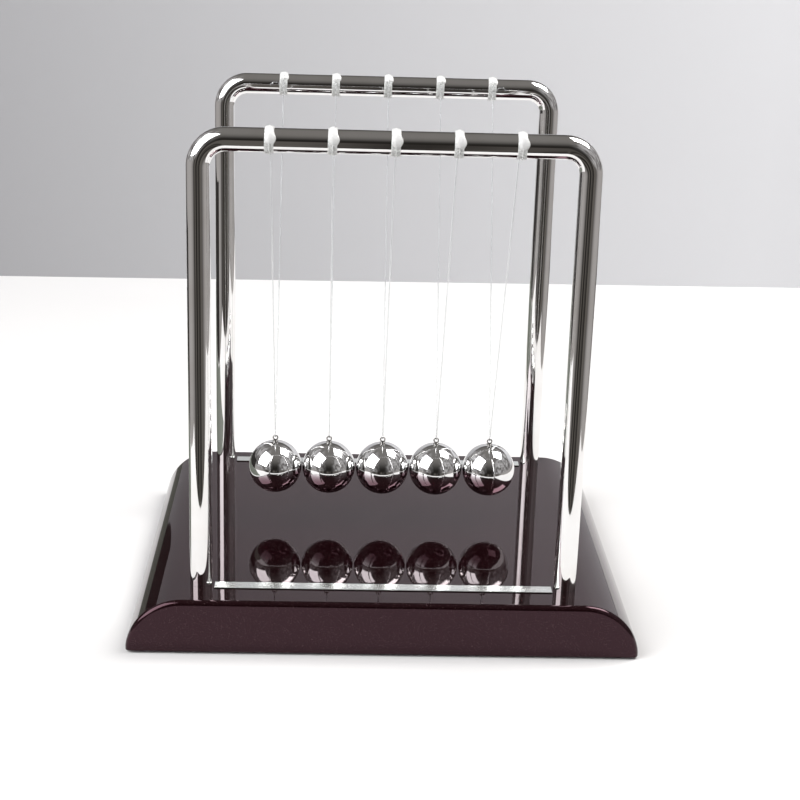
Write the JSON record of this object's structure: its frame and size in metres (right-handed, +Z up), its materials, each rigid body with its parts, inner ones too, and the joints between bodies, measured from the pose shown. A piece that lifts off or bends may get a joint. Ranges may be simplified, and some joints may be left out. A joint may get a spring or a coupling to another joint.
{
  "type": "newtons cradle",
  "caption": "Desk pendulum toy: polished balls in a row on V-shaped lines between two bent chrome rod frames, standing on a dark glossy base with curved sides.",
  "frame": {"origin": "middle of the base on the surface it stands on", "axes": "+X along the row of balls to the right, +Y from the front frame to the rear frame, +Z up"},
  "size_m": [0.18, 0.15, 0.183],
  "materials": {
    "gloss_shell": "high-gloss moulded, very dark red-brown",
    "matte_plate": "matt moulded, black",
    "screw_steel": "zinc-plated",
    "chrome_rod": "polished chrome plate on steel",
    "bright_strip": "bright polished face",
    "foot_foam": "matt foam rubber",
    "nylon": "clear nylon line set with clear glue",
    "eye_steel": "bright wire",
    "ball_chrome": "mirror-polished chrome plate on steel"
  },
  "bodies": {
    "stand": {"base_shell": "gloss_shell", "bottom_plate": "matte_plate", "plate_screws": "screw_steel", "foot_pad_1": "foot_foam", "foot_pad_2": "foot_foam", "foot_pad_3": "foot_foam", "foot_pad_4": "foot_foam", "front_frame": "chrome_rod", "rear_frame": "chrome_rod", "leg_washers": "screw_steel", "leg_screws": "screw_steel", "front_strip": "bright_strip", "rear_strip": "bright_strip", "front_winding_1": "nylon", "front_winding_2": "nylon", "front_winding_3": "nylon", "front_winding_4": "nylon", "front_winding_5": "nylon", "rear_winding_1": "nylon", "rear_winding_2": "nylon", "rear_winding_3": "nylon", "rear_winding_4": "nylon", "rear_winding_5": "nylon", "rear_tail_left": "nylon", "rear_tail_right": "nylon"},
    "pendulum_1": {"line_1": "nylon", "eye_1": "eye_steel", "ball_1": "ball_chrome"},
    "pendulum_2": {"line_2": "nylon", "eye_2": "eye_steel", "ball_2": "ball_chrome"},
    "pendulum_3": {"line_3": "nylon", "eye_3": "eye_steel", "ball_3": "ball_chrome"},
    "pendulum_4": {"line_4": "nylon", "eye_4": "eye_steel", "ball_4": "ball_chrome"},
    "pendulum_5": {"line_5": "nylon", "eye_5": "eye_steel", "ball_5": "ball_chrome"}
  },
  "joints": [
    {"name": "ball_1_swing", "type": "hinge", "parent": "stand", "child": "pendulum_1", "pos_m": [-0.0412, 0.004, 0.17996], "axis": [0, -1, 0], "range_deg": [-60, 0.11]},
    {"name": "ball_2_swing", "type": "hinge", "parent": "stand", "child": "pendulum_2", "pos_m": [-0.0206, 0.004, 0.17996], "axis": [0, -1, 0], "range_deg": [-0.11, 0.11]},
    {"name": "ball_3_swing", "type": "hinge", "parent": "stand", "child": "pendulum_3", "pos_m": [0, 0.004, 0.17996], "axis": [0, -1, 0], "range_deg": [-0.11, 0.11]},
    {"name": "ball_4_swing", "type": "hinge", "parent": "stand", "child": "pendulum_4", "pos_m": [0.0206, 0.004, 0.17996], "axis": [0, -1, 0], "range_deg": [-0.11, 0.11]},
    {"name": "ball_5_swing", "type": "hinge", "parent": "stand", "child": "pendulum_5", "pos_m": [0.0412, 0.004, 0.17996], "axis": [0, -1, 0], "range_deg": [-0.11, 60]}
  ]
}
